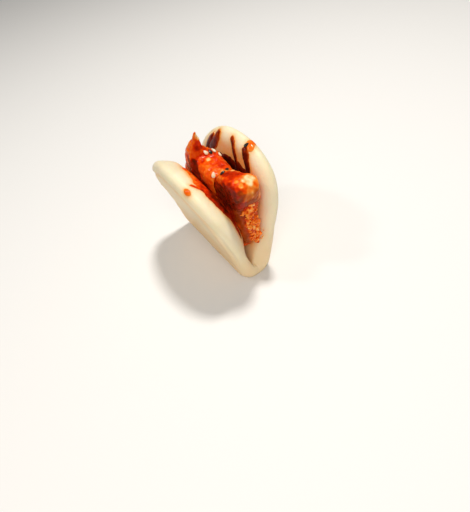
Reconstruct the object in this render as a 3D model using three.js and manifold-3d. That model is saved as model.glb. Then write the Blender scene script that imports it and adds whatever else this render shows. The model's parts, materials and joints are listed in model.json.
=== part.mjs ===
// A gua bao: a steamed bun folded over two fried fillets in red sauce, with sesame seeds.
// Millimetres, +Z up. The fold runs along X, and the two flaps rise from it on the -Y and +Y sides.
// The bun stands on a small flat along its fold.

import * as THREE from "three";
import { mergeVertices } from "three/addons/utils/BufferGeometryUtils.js";
import { ImprovedNoise } from "three/addons/math/ImprovedNoise.js";
import Module from "manifold-3d";

const wasm = await Module();
wasm.setup();

// The dough is one oval sheet, bent round the fold. A place on it is given by p, along the fold,
// and q, the way up a flap from the fold, which is negative on the left flap.
const DOUGH = {
  thickness: 10.8,
  foldRadius: 6.0,
  foldHalfLength: 34.3,
  roundStart: 41.5,
  lean: THREE.MathUtils.degToRad(16.3),
  noseAtFold: 0.5,
  creaseAtFold: 0.22,
  innerNose: 0.82,
  noseBlend: 30,
};

// Each flap: how far its tip is from the fold, its half width and roundness towards the front and the
// back end, its curl for each millimetre, how far in its outer edge is rounded as a share of the
// thickness, how far its outer face is from the middle layer, how far its faces swell in the middle,
// and the crease along its outer edge.
const LEFT_FLAP = {
  side: -1,
  reach: 69.3,
  halfFront: 36.8,
  halfBack: 35.4,
  powerFront: 1.95,
  powerBack: 2.1,
  curl: 0.0002,
  outerNose: 0.5,
  outerHalf: 4.0,
  outerSwell: -0.3,
  innerSwell: 3.4,
  crease: 0.6,
};
const RIGHT_FLAP = {
  side: 1,
  reach: 72.2,
  halfFront: 34.6,
  halfBack: 36.5,
  powerFront: 2.25,
  powerBack: 2.0,
  curl: 0.002,
  outerNose: 0.82,
  outerHalf: 5.4,
  outerSwell: 2.4,
  innerSwell: 0,
  crease: 0,
};
// The swell and the crease set in a little way up from the fold, and the swell fades towards the rim.
const SWELL = { from: 14, over: 22, outerFade: 24, innerFade: 9 };
const CREASE = { fromRim: 2.2, fromTip: 4.8, rise: 24, halfWidth: 1.1, from: 12, over: 14 };
// By the fold, the inner faces shift to the left over the front end's length, but not at the rim itself.
const FOLD_SHIFT = { y: -2.5, from: 8, over: 24, frontLength: 20, inFromRim: 4 };
const REST_FLAT_DEPTH = 1.6;
const UNEVEN = { size: 26, height: 0.5, layer: 3.5 };

// Rings of points on the dough: millimetres in from the rim, then shares of what is left.
const RIM_STEPS = [0, 0.35, 1.2, 2.3, 3.5, 4.9, 6.8, 10.4];
const INNER_SHARES = [0.3, 0.62, 1];
const FLAP_ROWS = 14;
const ROW_CROWDING = 1.4;
const TIP_SPOKES = 15;

// Thick sauce runs down the inner face of the right flap, given as places [p, q, half width].
const SAUCE_RUNS = [
  [[-12.4, 67.8, 1.2], [-12.8, 66.0, 2.5], [-14.0, 63.0, 3.0], [-16.4, 59.0, 2.7], [-18.4, 55.4, 1.2]],
  [[-18.4, 63.6, 0.7], [-19.8, 61.2, 1.5], [-21.4, 57.0, 0.9]],
  [[-0.9, 69.6, 0.6], [0.8, 68.4, 1.0], [2.6, 66.6, 1.3], [4.8, 62.5, 1.5], [7.0, 57.6, 0.8]],
  [[11.2, 68.5, 1.2], [12.0, 67.4, 1.9], [14.3, 64.2, 2.1], [16.2, 60.6, 1.9], [17.0, 57.0, 0.9]],
];
const SAUCE = {
  root: 0.9,
  rootShare: 0.8,
  lift: 0.25,
  heightShare: 0.42,
  highest: 1.0,
  stations: 9,
  across: [-1, -0.6, 0, 0.6, 1],
};

// Round drops of sauce on the rims of the right and the left flap.
const SAUCE_DROPS = [
  { p: 12.8, q: 69.9, face: -1, length: 7.4, width: 4.8, height: 1.7, turn: 80 },
  { p: 15.5, q: -66.0, face: 1, length: 3.8, width: 3.0, height: 1.3, turn: 40 },
];
const DROP_SIDES = { around: 10, along: 6 };

// The fillets are battered slabs standing on edge in the fold. Their side outlines are [x, z]. The back
// one has a thin fin at its top: its left and its right face draw in to y from a level up, over a height,
// and the right one draws in lower down towards the back. The front one narrows towards its end to a share
// of its thickness, which is larger on the right at the top. Behind its end it has a slanted right shoulder.
const CRUST_GAP = 0.4;
const BACK_FILLET = {
  outline: [
    [-24, 15], [-4, 12], [14, 16], [17, 40], [17, 58], [14, 63.5], [6, 65.5], [-1.8, 67], [-3.5, 72],
    [-4.1, 80], [-6.6, 76.5], [-11, 68], [-18, 55], [-23, 40], [-27, 26],
  ],
  middle: [-2, 44],
  y: -0.9,
  halfThickness: 8.5,
  foot: 0.5,
  squareness: 4.6,
  fin: {
    left: { y: -4.2, level: 68, height: 9, from: -1, backSlope: 0 },
    right: { y: -1.3, level: 65, height: 7, from: -1, backSlope: 0.6 },
  },
  end: null,
  shoulder: null,
  crustSeed: 9.1,
};
const FRONT_FILLET = {
  outline: [
    [14, 18], [22, 17], [29.5, 25], [32.5, 34], [31.8, 45], [32.8, 52], [35.4, 56.5], [36.6, 62.5],
    [33.5, 67.2], [25, 68], [16.5, 66], [12.5, 58], [11, 36],
  ],
  middle: [22, 44],
  y: 0.6,
  halfThickness: 8.6,
  foot: 0.5,
  squareness: 5.4,
  fin: null,
  end: { from: 29, length: 8, left: 0.72, right: 0.72, rightTop: 1.0, level: 60, height: 6 },
  shoulder: { y: 4.2, level: 58, height: 10, before: 24, length: 7 },
  crustSeed: 4.3,
};
const SLAB = { spokes: 56, rings: 9, footLevel: 14, fullHeight: 52 };
const CRUST = { lumpSize: 13, lumpHeight: 1.3, cragSize: 4.6, cragHeight: 0.75 };

// Crisp crumbs of batter in a trail down the front end of the front fillet.
const CRUMBS = {
  count: 44,
  top: new THREE.Vector3(32.0, 0.6, 50),
  bottom: new THREE.Vector3(32.2, 3.0, 27),
  spread: new THREE.Vector3(2.0, 6.4, 3.0),
  smallest: 0.8,
  largest: 1.9,
};

// Sesame seeds, dropped straight down on the crust at [x, y, turn in degrees].
const SEED = { length: 3.1, width: 1.9, thickness: 1.1, taper: 0.45, sunk: 0.25, around: 6, along: 4 };
const SEED_DROP_LEVEL = 200;
const BACK_SEEDS = [[-1.7, -0.3, 20], [-0.9, 2.0, 65], [-1.2, 4.2, -30], [1.2, 6.0, 10], [13.2, -5.6, 80]];
const FRONT_SEEDS = [[17.2, 0.2, 40], [19.0, -3.4, -20]];
const RIM_SEED = { p: 10.4, q: 69.7, turn: 60 };

const BUN_FINISH = { color: 0xf1e6c6, roughness: 0.6, metalness: 0 };
const FILLET_FINISH = { color: 0xc23a10, roughness: 0.25, metalness: 0 };
const FLOOR_CUTTER = { width: 200, depth: 40 };
const NOISE = new ImprovedNoise();

function smooth(t) {
  return THREE.MathUtils.smoothstep(t, 0, 1);
}

// A repeatable draw between 0 and 1 for the n-th call.
function draw(n) {
  const wave = Math.sin(n * 127.1 + 11.7) * 43758.5453;
  return wave - Math.floor(wave);
}

function flapOf(q) {
  return q < 0 ? LEFT_FLAP : RIGHT_FLAP;
}

// How far a place on the dough is from the rim, measured along its own spoke.
function rimDistance(p, q) {
  const flap = flapOf(q);
  const half = p < 0 ? flap.halfBack : flap.halfFront;
  const power = p < 0 ? flap.powerBack : flap.powerFront;
  const up = Math.abs(q);
  if (up <= DOUGH.roundStart) {
    const widening = 0.5 - 0.5 * Math.cos((Math.PI * up) / DOUGH.roundStart);
    return DOUGH.foldHalfLength + (half - DOUGH.foldHalfLength) * widening - Math.abs(p);
  }
  const past = up - DOUGH.roundStart;
  const share = (Math.abs(p) / half) ** power + (past / (flap.reach - DOUGH.roundStart)) ** power;
  const radius = Math.max(share ** (1 / power), 1e-6);
  return Math.hypot(p, past) * (1 / radius - 1);
}

// Half of the dough's thickness at a place, on its outer (+1) or inner (-1) face.
function halfThickness(p, q, face) {
  const { lerp } = THREE.MathUtils;
  const flap = flapOf(q);
  const up = Math.abs(q);
  const distance = Math.max(rimDistance(p, q), 0);
  const blend = smooth(up / DOUGH.noseBlend);
  const atFold = face > 0 ? DOUGH.noseAtFold : DOUGH.creaseAtFold;
  const onFlap = face > 0 ? flap.outerNose : DOUGH.innerNose;
  const nose = DOUGH.thickness * lerp(atFold, onFlap, blend);
  const inNose = 1 - Math.min(distance / nose, 1);
  const round = Math.sqrt(Math.max(1 - inNose * inNose, 0));
  const fade = face > 0 ? SWELL.outerFade : SWELL.innerFade;
  const middle = smooth((up - SWELL.from) / SWELL.over) * smooth(distance / fade);
  const puff = UNEVEN.height * NOISE.noise(p / UNEVEN.size, q / UNEVEN.size, UNEVEN.layer + face);
  if (face < 0) return round * (DOUGH.thickness / 2 + puff) + flap.innerSwell * middle;
  const outerHalf = lerp(DOUGH.thickness / 2, flap.outerHalf, blend);
  const crease = lerp(CREASE.fromRim, CREASE.fromTip, smooth((up - DOUGH.roundStart) / CREASE.rise));
  const fromCrease = (distance - crease) / CREASE.halfWidth;
  const deep = flap.crease * smooth((up - CREASE.from) / CREASE.over);
  const groove = deep * Math.exp(-(fromCrease * fromCrease));
  return round * (outerHalf + puff) + flap.outerSwell * middle - groove;
}

// A point at a distance out from the dough's middle layer.
function doughPoint(p, q, out) {
  const flap = flapOf(q);
  const turn = Math.PI / 2 - DOUGH.lean;
  const bent = DOUGH.foldRadius * turn;
  const up = Math.abs(q);
  let angle = up / DOUGH.foldRadius;
  let y = DOUGH.foldRadius * Math.sin(angle);
  let z = DOUGH.foldRadius * (1 - Math.cos(angle));
  if (up > bent) {
    angle = turn + flap.curl * (up - bent);
    y = DOUGH.foldRadius * Math.sin(turn) + (Math.sin(angle) - Math.sin(turn)) / flap.curl;
    z = DOUGH.foldRadius * (1 - Math.cos(turn)) - (Math.cos(angle) - Math.cos(turn)) / flap.curl;
  }
  const level = DOUGH.thickness / 2 - REST_FLAT_DEPTH;
  return new THREE.Vector3(p, flap.side * (y + out * Math.sin(angle)), level + z - out * Math.cos(angle));
}

// A point on the outer (+1) or inner (-1) face of the dough, raised from it by a height.
function facePoint(p, q, face, height) {
  const point = doughPoint(p, q, face * (halfThickness(p, q, face) + height));
  if (face > 0) return point;
  const nearFold = 1 - smooth((Math.abs(q) - FOLD_SHIFT.from) / FOLD_SHIFT.over);
  const inside = smooth(rimDistance(p, q) / FOLD_SHIFT.inFromRim);
  point.y += FOLD_SHIFT.y * nearFold * inside * smooth(p / FOLD_SHIFT.frontLength);
  return point;
}

// The way out of the surface at a place on a face of the dough.
function faceNormal(p, q, face) {
  const step = 0.2;
  const along = facePoint(p + step, q, face, 0).sub(facePoint(p - step, q, face, 0));
  const up = facePoint(p, q + step, face, 0).sub(facePoint(p, q - step, face, 0));
  return along.cross(up).multiplyScalar(face).normalize();
}

// Closed geometry from points and triangles: equal points are joined, and its faces point out.
function geometryFrom(points, triangles) {
  const loose = new THREE.BufferGeometry();
  loose.setAttribute("position", new THREE.Float32BufferAttribute(points.flatMap((v) => v.toArray()), 3));
  loose.setIndex(triangles.flat());
  const geometry = mergeVertices(loose, 1e-4);
  const index = geometry.index.array;
  const kept = [];
  for (let i = 0; i < index.length; i += 3) {
    const [a, b, c] = index.slice(i, i + 3);
    if (a !== b && b !== c && c !== a) kept.push(a, b, c);
  }
  geometry.setIndex(signedVolume(geometry, kept) < 0 ? kept.reverse() : kept);
  return geometry;
}

// The volume inside a closed surface, which is negative where its faces point in.
function signedVolume(geometry, index) {
  const corner = index.map((i) => new THREE.Vector3().fromBufferAttribute(geometry.attributes.position, i));
  let volume = 0;
  for (let i = 0; i < corner.length; i += 3) {
    volume += corner[i].dot(corner[i + 1].clone().cross(corner[i + 2])) / 6;
  }
  return volume;
}

function solidFrom(geometry) {
  const plain = geometry.clone();
  plain.deleteAttribute("normal");
  plain.deleteAttribute("uv");
  const merged = mergeVertices(plain, 1e-4);
  const mesh = new wasm.Mesh({
    numProp: 3,
    vertProperties: new Float32Array(merged.attributes.position.array),
    triVerts: new Uint32Array(merged.index.array),
  });
  mesh.merge();
  return new wasm.Manifold(mesh);
}

// The largest body of a solid, as geometry.
function geometryOf(solid) {
  const bodies = solid.decompose().sort((a, b) => b.volume() - a.volume());
  const mesh = bodies[0].getMesh();
  const geometry = new THREE.BufferGeometry();
  geometry.setAttribute("position", new THREE.Float32BufferAttribute(mesh.vertProperties, 3));
  geometry.setIndex([...mesh.triVerts]);
  return geometry;
}

// The spokes of the dough sheet, each from its foot on the sheet's spine to the rim.
function doughSpokes() {
  const rows = [];
  for (let i = -FLAP_ROWS; i <= FLAP_ROWS; i += 1) {
    const share = i / FLAP_ROWS;
    rows.push(Math.sign(share) * Math.abs(share) ** ROW_CROWDING * DOUGH.roundStart);
  }
  const edge = (p, q) => Math.sign(p) * rimDistance(p * 1e-6, q);
  const front = rows.map((q) => ({ foot: [0, q], rim: [edge(1, q), q] }));
  const back = rows.map((q) => ({ foot: [0, q], rim: [edge(-1, q), q] })).reverse();
  const round = (flap, from) => {
    const spokes = [];
    for (let i = 1; i < TIP_SPOKES; i += 1) {
      const angle = from * (Math.PI / 2 - (Math.PI * i) / TIP_SPOKES);
      const sine = Math.sin(angle);
      const half = sine < 0 ? flap.halfBack : flap.halfFront;
      const power = sine < 0 ? flap.powerBack : flap.powerFront;
      const p = half * Math.sign(sine) * Math.abs(sine) ** (2 / power);
      const q = DOUGH.roundStart + (flap.reach - DOUGH.roundStart) * Math.cos(angle) ** (2 / power);
      spokes.push({ foot: [0, flap.side * DOUGH.roundStart], rim: [p, flap.side * q] });
    }
    return spokes;
  };
  return [...front, ...round(RIGHT_FLAP, 1), ...back, ...round(LEFT_FLAP, -1)];
}

// The bun, swollen all over by a clearance, which is 0 for the bun itself.
function bunGeometry(clearance) {
  const spokes = doughSpokes();
  const points = [];
  const triangles = [];
  const rings = RIM_STEPS.length + INNER_SHARES.length;
  for (const face of [1, -1]) {
    for (const { foot, rim } of spokes) {
      const length = Math.hypot(rim[0] - foot[0], rim[1] - foot[1]);
      const last = RIM_STEPS[RIM_STEPS.length - 1];
      const inner = INNER_SHARES.map((share) => last + (length - last) * share);
      for (const distance of [...RIM_STEPS, ...inner]) {
        const onRim = distance === 0;
        const reach = 1 - (onRim ? -clearance : distance) / length;
        const p = foot[0] + (rim[0] - foot[0]) * reach;
        const q = foot[1] + (rim[1] - foot[1]) * reach;
        points.push(onRim ? doughPoint(p, q, 0) : facePoint(p, q, face, clearance));
      }
    }
  }
  const at = (face, spoke, ring) => (face * spokes.length + (spoke % spokes.length)) * rings + ring;
  for (let spoke = 0; spoke < spokes.length; spoke += 1) {
    for (let ring = 0; ring + 1 < rings; ring += 1) {
      for (const face of [0, 1]) {
        const a = at(face, spoke, ring);
        const b = at(face, spoke + 1, ring);
        const c = at(face, spoke + 1, ring + 1);
        const d = at(face, spoke, ring + 1);
        triangles.push(...(face === 0 ? [[a, b, c], [a, c, d]] : [[a, c, b], [a, d, c]]));
      }
    }
  }
  return geometryFrom(points, triangles);
}

// A rounded ridge of sauce along places on a face of the dough, rooted a little way into it.
function sauceRidge(places, face) {
  const way = new THREE.CatmullRomCurve3(places.map((place) => new THREE.Vector3(...place)));
  const points = [];
  const triangles = [];
  const ring = SAUCE.across.length + 2;
  for (let i = 0; i < SAUCE.stations; i += 1) {
    const t = i / (SAUCE.stations - 1);
    const { x: p, y: q, z: half } = way.getPoint(t);
    const along = way.getTangent(t).setZ(0).normalize();
    const height = Math.min(half * SAUCE.heightShare, SAUCE.highest);
    const place = (s, rise) => facePoint(p - along.y * s * half, q + along.x * s * half, face, rise);
    SAUCE.across.forEach((s) => points.push(place(s, SAUCE.lift + height * (1 - s * s))));
    points.push(place(SAUCE.rootShare, -SAUCE.root), place(-SAUCE.rootShare, -SAUCE.root));
  }
  for (let i = 0; i + 1 < SAUCE.stations; i += 1) {
    for (let k = 0; k < ring; k += 1) {
      const a = i * ring + k;
      const b = i * ring + ((k + 1) % ring);
      triangles.push([a, b, b + ring], [a, b + ring, a + ring]);
    }
  }
  const end = (SAUCE.stations - 1) * ring;
  for (let k = 1; k + 1 < ring; k += 1) {
    triangles.push([0, k + 1, k], [end, end + k, end + k + 1]);
  }
  return geometryFrom(points, triangles);
}

// A round drop of sauce, half sunk in a face of the dough.
function sauceDrop({ p, q, face, length, width, height, turn }) {
  const geometry = new THREE.SphereGeometry(0.5, DROP_SIDES.around, DROP_SIDES.along);
  geometry.scale(length, width, height);
  return laidOn(geometry, facePoint(p, q, face, 0), faceNormal(p, q, face), turn);
}

// One flat, pointed seed lying along X, centred on the origin.
function seedGeometry() {
  const geometry = new THREE.SphereGeometry(0.5, SEED.around, SEED.along);
  geometry.rotateZ(Math.PI / 2);
  const position = geometry.attributes.position;
  for (let i = 0; i < position.count; i += 1) {
    const x = position.getX(i);
    const width = SEED.width * (1 - SEED.taper * (x + 0.5));
    position.setXYZ(i, x * SEED.length, position.getY(i) * width, position.getZ(i) * SEED.thickness);
  }
  return geometry.translate(0, 0, SEED.thickness / 2 - SEED.sunk);
}

// A flat thing laid on a surface at a point, turned about the surface's normal by degrees.
function laidOn(geometry, point, normal, turn) {
  geometry.rotateZ(THREE.MathUtils.degToRad(turn));
  geometry.applyQuaternion(new THREE.Quaternion().setFromUnitVectors(new THREE.Vector3(0, 0, 1), normal));
  return geometry.translate(point.x, point.y, point.z);
}

// Where a line straight down at x, y first meets a geometry.
function dropOn(geometry, x, y) {
  const mesh = new THREE.Mesh(geometry);
  const above = new THREE.Vector3(x, y, SEED_DROP_LEVEL);
  const down = new THREE.Raycaster(above, new THREE.Vector3(0, 0, -1));
  const hit = down.intersectObject(mesh)[0];
  return { point: hit.point, normal: hit.face.normal.clone() };
}

// Pushes every point of a closed geometry in or out into lumps and crags.
function roughen(geometry, seed) {
  geometry.computeVertexNormals();
  const position = geometry.attributes.position;
  const normal = geometry.attributes.normal;
  const point = new THREE.Vector3();
  const out = new THREE.Vector3();
  for (let i = 0; i < position.count; i += 1) {
    point.fromBufferAttribute(position, i);
    const lump = point.clone().divideScalar(CRUST.lumpSize);
    const crag = point.clone().divideScalar(CRUST.cragSize);
    const push = CRUST.lumpHeight * NOISE.noise(lump.x + seed, lump.y, lump.z)
      + CRUST.cragHeight * NOISE.noise(crag.x, crag.y + seed, crag.z);
    out.fromBufferAttribute(normal, i);
    point.addScaledVector(out, push);
    position.setXYZ(i, point.x, point.y, point.z);
  }
  geometry.deleteAttribute("normal");
  return geometry;
}

// How far a fillet's left (-1) or right (+1) face is from the middle plane at a place.
function slabFace(fillet, face, x, z) {
  const { lerp } = THREE.MathUtils;
  const { fin, end, shoulder } = fillet;
  const wide = lerp(fillet.foot, 1, smooth((z - SLAB.footLevel) / SLAB.fullHeight));
  let y = wide * (fillet.y + face * fillet.halfThickness);
  if (end) {
    const share = face < 0 ? end.left : lerp(end.right, end.rightTop, smooth((z - end.level) / end.height));
    y *= lerp(1, share, smooth((x - end.from) / end.length));
  }
  if (shoulder && face > 0) {
    const slant = smooth((z - shoulder.level) / shoulder.height);
    y = lerp(y, shoulder.y, slant * (1 - smooth((x - shoulder.before) / shoulder.length)));
  }
  if (!fin) return y;
  const side = face < 0 ? fin.left : fin.right;
  const behind = Math.max(side.from - x, 0) * side.backSlope;
  return lerp(y, side.y, smooth((z + behind - side.level) / side.height));
}

// A battered slab with round edges and a rough crust.
function slabGeometry(fillet) {
  const corners = fillet.outline.map(([x, z]) => new THREE.Vector3(x, 0, z));
  const outline = new THREE.CatmullRomCurve3(corners, true, "centripetal");
  const middle = new THREE.Vector3(fillet.middle[0], 0, fillet.middle[1]);
  const points = [];
  const triangles = [];
  for (const face of [-1, 1]) {
    for (let i = 0; i < SLAB.spokes; i += 1) {
      const rim = outline.getPointAt(i / SLAB.spokes);
      for (let ring = 0; ring <= SLAB.rings; ring += 1) {
        const share = Math.sin((Math.PI / 2) * (ring / SLAB.rings));
        const point = middle.clone().lerp(rim, share);
        const bulge = (1 - share ** fillet.squareness) ** (1 / fillet.squareness);
        const left = slabFace(fillet, -1, point.x, point.z);
        const right = slabFace(fillet, 1, point.x, point.z);
        point.y = (left + right + face * (right - left) * bulge) / 2;
        points.push(point);
      }
    }
  }
  const row = SLAB.rings + 1;
  for (let i = 0; i < SLAB.spokes; i += 1) {
    const next = (i + 1) % SLAB.spokes;
    for (let ring = 0; ring < SLAB.rings; ring += 1) {
      for (const face of [0, 1]) {
        const start = face * SLAB.spokes * row;
        const a = start + i * row + ring;
        const b = start + next * row + ring;
        const quad = [[a, b, b + 1], [a, b + 1, a + 1]];
        triangles.push(...(face === 0 ? quad.map(([u, v, w]) => [u, w, v]) : quad));
      }
    }
  }
  return roughen(geometryFrom(points, triangles), fillet.crustSeed);
}

// A copy of a geometry with each point moved out along its normal.
function grown(geometry, distance) {
  const copy = geometry.clone();
  copy.computeVertexNormals();
  const position = copy.attributes.position;
  const normal = copy.attributes.normal;
  for (let i = 0; i < position.count; i += 1) {
    position.setXYZ(
      i,
      position.getX(i) + normal.getX(i) * distance,
      position.getY(i) + normal.getY(i) * distance,
      position.getZ(i) + normal.getZ(i) * distance,
    );
  }
  copy.deleteAttribute("normal");
  return copy;
}

// The crumb trail: small faceted lumps strewn between its top and its bottom.
function crumbGeometries() {
  const crumbs = [];
  for (let i = 0; i < CRUMBS.count; i += 1) {
    const along = i / (CRUMBS.count - 1);
    const draws = [0, 1, 2, 3, 4, 5].map((n) => draw(i * 6 + n));
    const radius = THREE.MathUtils.lerp(CRUMBS.smallest, CRUMBS.largest, draws[0]);
    const crumb = new THREE.IcosahedronGeometry(radius, 0);
    crumb.rotateX(draws[1] * Math.PI);
    crumb.rotateY(draws[2] * Math.PI);
    const astray = new THREE.Vector3(draws[3] - 0.5, draws[4] - 0.5, draws[5] - 0.5);
    const place = CRUMBS.top.clone().lerp(CRUMBS.bottom, along).add(astray.multiply(CRUMBS.spread));
    crumb.translate(place.x, place.y, place.z);
    crumbs.push(crumb);
  }
  return crumbs;
}

// One solid of several geometries.
function joined(solid, geometries) {
  return geometries.reduce((whole, geometry) => whole.add(solidFrom(geometry)), solid);
}

function bunSolid() {
  const seedPlace = facePoint(RIM_SEED.p, RIM_SEED.q, -1, 0);
  const seedNormal = faceNormal(RIM_SEED.p, RIM_SEED.q, -1);
  const whole = joined(solidFrom(bunGeometry(0)), [
    ...SAUCE_RUNS.map((run) => sauceRidge(run, -1)),
    ...SAUCE_DROPS.map((drop) => sauceDrop(drop)),
    laidOn(seedGeometry(), seedPlace, seedNormal, RIM_SEED.turn),
  ]);
  const below = new THREE.BoxGeometry(FLOOR_CUTTER.width, FLOOR_CUTTER.width, FLOOR_CUTTER.depth);
  below.translate(0, 0, -FLOOR_CUTTER.depth / 2);
  return whole.subtract(solidFrom(below));
}

function withSeeds(solid, seeds) {
  const surface = geometryOf(solid);
  const laid = seeds.map(([x, y, turn]) => {
    const { point, normal } = dropOn(surface, x, y);
    return laidOn(seedGeometry(), point, normal, turn);
  });
  return joined(solid, laid);
}

function piece(name, solid, finish) {
  const mesh = new THREE.Mesh(geometryOf(solid), new THREE.MeshStandardMaterial(finish));
  mesh.name = name;
  return mesh;
}

const mouth = solidFrom(bunGeometry(CRUST_GAP));
const crumbed = joined(solidFrom(slabGeometry(FRONT_FILLET)), crumbGeometries());
const front = withSeeds(crumbed.subtract(mouth), FRONT_SEEDS);
const frontRoom = solidFrom(grown(geometryOf(front), CRUST_GAP));
const slab = solidFrom(slabGeometry(BACK_FILLET));
const back = withSeeds(slab.subtract(frontRoom).subtract(mouth), BACK_SEEDS);

const guaBao = new THREE.Group();
guaBao.add(piece("bun", bunSolid(), BUN_FINISH));
guaBao.add(piece("fillet_front", front, FILLET_FINISH));
guaBao.add(piece("fillet_back", back, FILLET_FINISH));

// The origin is under the middle of the whole.
const box = new THREE.Box3().setFromObject(guaBao);
const centre = box.getCenter(new THREE.Vector3());
guaBao.position.set(-centre.x, -centre.y, -box.min.z);

export default guaBao;
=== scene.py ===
# A gua bao: a steamed bun folded over two fried fillets in red sauce, with crumbs and sesame seeds.
import json
import math

import bmesh
import bpy
import numpy as np
from mathutils import Matrix, Quaternion, Vector, noise
from mathutils.bvhtree import BVHTree


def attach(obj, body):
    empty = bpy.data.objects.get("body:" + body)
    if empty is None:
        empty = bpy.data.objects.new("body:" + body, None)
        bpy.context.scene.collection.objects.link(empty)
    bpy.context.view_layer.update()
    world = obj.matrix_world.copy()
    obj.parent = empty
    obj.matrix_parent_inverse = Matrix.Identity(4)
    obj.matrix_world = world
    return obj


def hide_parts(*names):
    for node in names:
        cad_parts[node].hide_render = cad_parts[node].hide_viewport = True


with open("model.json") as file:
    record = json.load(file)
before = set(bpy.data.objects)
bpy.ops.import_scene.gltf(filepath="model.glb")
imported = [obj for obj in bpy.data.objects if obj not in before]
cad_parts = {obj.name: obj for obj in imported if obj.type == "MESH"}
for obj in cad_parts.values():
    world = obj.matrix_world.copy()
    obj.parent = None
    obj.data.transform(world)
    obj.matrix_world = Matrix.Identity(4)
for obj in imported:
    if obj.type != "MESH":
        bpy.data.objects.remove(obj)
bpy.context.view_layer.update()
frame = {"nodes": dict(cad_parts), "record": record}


# The bun is one oval of steamed wheat dough with a satin, slightly uneven skin, folded once so that two
# flaps stand up from a round fold. It is a bent sheet in millimetres from the fold's middle, where the
# part rests: p runs along the fold, and q up a flap from the fold, negative on the left flap.
MM = 0.001
TINY = 1e-9
WELD = 1e-6
FOLD_PLACE = np.array(frame["record"]["mounts"][0]["pos_m"]) / MM
THICKNESS = 10.8
FOLD_RADIUS = 6.0
FOLD_HALF_LENGTH = 34.3
ROUND_START = 41.5
FLAP_LEAN = math.radians(16.3)
FLAP_TURN = math.pi / 2 - FLAP_LEAN
REST_FLAT_DEPTH = 1.6
LEFT_FLAP = {
    "side": -1, "reach": 69.3, "half_front": 36.8, "half_back": 35.4, "power_front": 1.95,
    "power_back": 2.1, "curl": 0.0002, "outer_nose": 0.5, "outer_swell": -0.3, "inner_swell": 3.4,
    "crease": 0.9, "outer_half": 4.0,
}
RIGHT_FLAP = {
    "side": 1, "reach": 72.2, "half_front": 34.6, "half_back": 36.5, "power_front": 2.25,
    "power_back": 2.0, "curl": 0.002, "outer_nose": 0.82, "outer_swell": 2.4, "inner_swell": 0.0,
    "crease": 0.0, "outer_half": 5.4,
}
# A nose is how far in from the rim the outer (1) or inner (-1) face is rounded, in thicknesses.
# A rise or fade is where an eased step starts, and how far it takes.
NOSE_AT_FOLD = {1: 0.5, -1: 0.22}
INNER_NOSE = 0.82
NOSE_RISE = (0.0, 30.0)
SWELL_RISE = (14.0, 22.0)
SWELL_RIM = {1: 24.0, -1: 9.0}
CREASE_LOW, CREASE_HIGH, CREASE_CLIMB, CREASE_HALF_WIDTH = 2.4, 5.0, 24.0, 1.2
CREASE_RISE = (12.0, 14.0)
FOLD_SHIFT, SHIFT_FADE, SHIFT_RIM, SHIFT_LENGTH = -2.5, (8.0, 24.0), 4.0, 20.0
FLAP_ROWS, ROW_CROWDING, TIP_SPOKES = 62, 1.4, 90
RIM_RINGS, RIM_DEPTH, INNER_RINGS = 20, 10.0, 36
# Bumps are (height, size) in millimetres, and each seed starts its noise in another place.
SEED_STEPS = (7.3, 3.1, 5.7)
DOUGH_BUMPS = [(0.34, 15.0), (0.10, 5.5), (0.03, 1.9)]
WRINKLES, WRINKLE_GRAIN, WRINKLE_STRETCH = [(0.16, 4.0)], [(0.06, 1.3)], (0.5, 0.5, 2.2)
WRINKLE_RISE, WRINKLE_RIM, WRINKLE_FADE = (16.0, 10.0), (3.5, 2.0), (14.0, 8.0)
PINCH_DEPTH, PINCH_HALF_WIDTH, PINCH_RISE = 0.35, 1.5, (26.0, 7.0)
# The warm colour paints warm light bounced up from below, and shade on the outer faces and along the
# crease.
DULL_DOUGH, BRIGHT_DOUGH, WARM_AND_PAINTED_LIGHT_DOUGH = (0.81, 0.71, 0.47), (0.87, 0.78, 0.56), (0.84, 0.56, 0.27)
STAIN_AND_BOUNCE_DOUGH, PORE_SHADE_DOUGH = (0.87, 0.40, 0.06), (0.62, 0.40, 0.20)


def eased(value, start, over):
    """A smooth step from 0 to 1 that starts at a value and takes a length to rise."""
    t = np.clip((value - start) / over, 0, 1)
    return t * t * (3 - 2 * t)


def of_flap(q, key):
    """A flap's own value, at places on either flap."""
    return np.where(q < 0, LEFT_FLAP[key], RIGHT_FLAP[key])


def of_end(p, q, key):
    """A value that differs between the back and front ends of a flap."""
    return np.where(p < 0, of_flap(q, key + "_back"), of_flap(q, key + "_front"))


def rim_distance(p, q):
    """How far a place on the dough is from the rim, along its own spoke."""
    half, power, up = of_end(p, q, "half"), of_end(p, q, "power"), np.abs(q)
    widening = 0.5 - 0.5 * np.cos(np.pi * np.minimum(up / ROUND_START, 1))
    beside = FOLD_HALF_LENGTH + (half - FOLD_HALF_LENGTH) * widening - np.abs(p)
    past = np.maximum(up - ROUND_START, 0)
    share = (np.abs(p) / half) ** power + (past / (of_flap(q, "reach") - ROUND_START)) ** power
    radius = np.maximum(share ** (1 / power), TINY)
    return np.where(up <= ROUND_START, beside, np.hypot(p, past) * (1 / radius - 1))


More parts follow.
